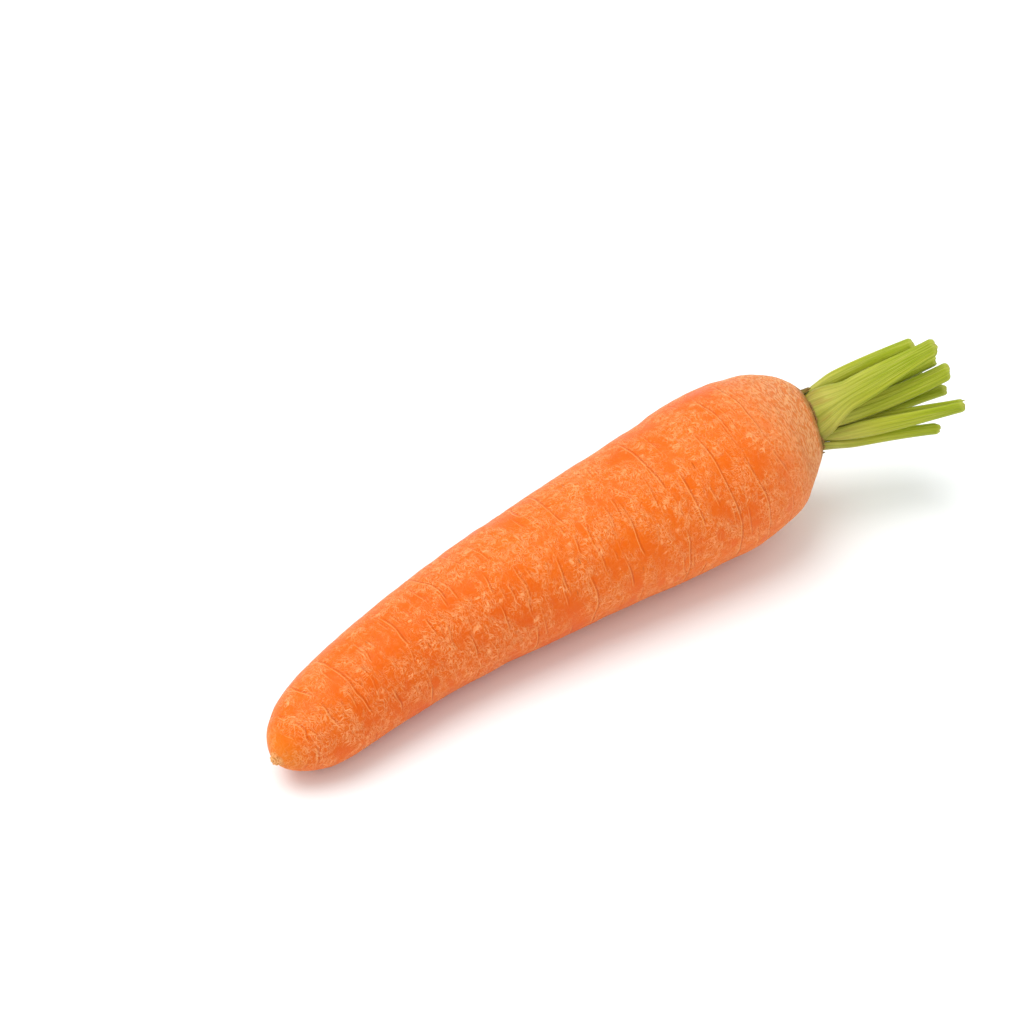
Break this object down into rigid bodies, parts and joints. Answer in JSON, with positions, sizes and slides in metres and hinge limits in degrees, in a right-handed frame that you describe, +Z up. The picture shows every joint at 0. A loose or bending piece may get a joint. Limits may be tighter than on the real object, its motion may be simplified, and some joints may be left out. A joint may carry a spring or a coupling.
{
  "type": "carrot",
  "caption": "Carrot lying on its side: a bowed, tapering taproot with a rounded shoulder, cut leaf stalks clasping its crown and dry scales round the rim.",
  "frame": {"origin": "centre of the bounding box, at the surface that the carrot lies on", "axes": "+X from the root's tip to its crown and leaf stalks, +Z up"},
  "size_m": [0.203, 0.0502, 0.0475],
  "materials": {
    "root_skin": "natural orange root skin, semi-gloss with paler scurfy mottling",
    "leaf_stalk": "natural yellow-green leaf stalk, satin, ribbed lengthways",
    "dry_scale": "dry brown leaf-base fibre, dull"
  },
  "bodies": {
    "root": {"root": "root_skin", "stalk_front": "leaf_stalk", "stalk_back_top": "leaf_stalk", "stalk_back": "leaf_stalk", "stalk_under": "leaf_stalk", "stalk_lowest": "leaf_stalk", "stalk_lower_front": "leaf_stalk", "stalk_centre": "leaf_stalk", "stalk_behind": "leaf_stalk", "stalk_lower_centre": "leaf_stalk", "stalk_thin": "leaf_stalk", "stalk_heart": "leaf_stalk", "dry_scale_top": "dry_scale", "dry_scale_front": "dry_scale", "dry_scale_lower_front": "dry_scale", "dry_scale_low": "dry_scale", "dry_scale_under": "dry_scale", "dry_scale_back": "dry_scale"}
  },
  "joints": []
}
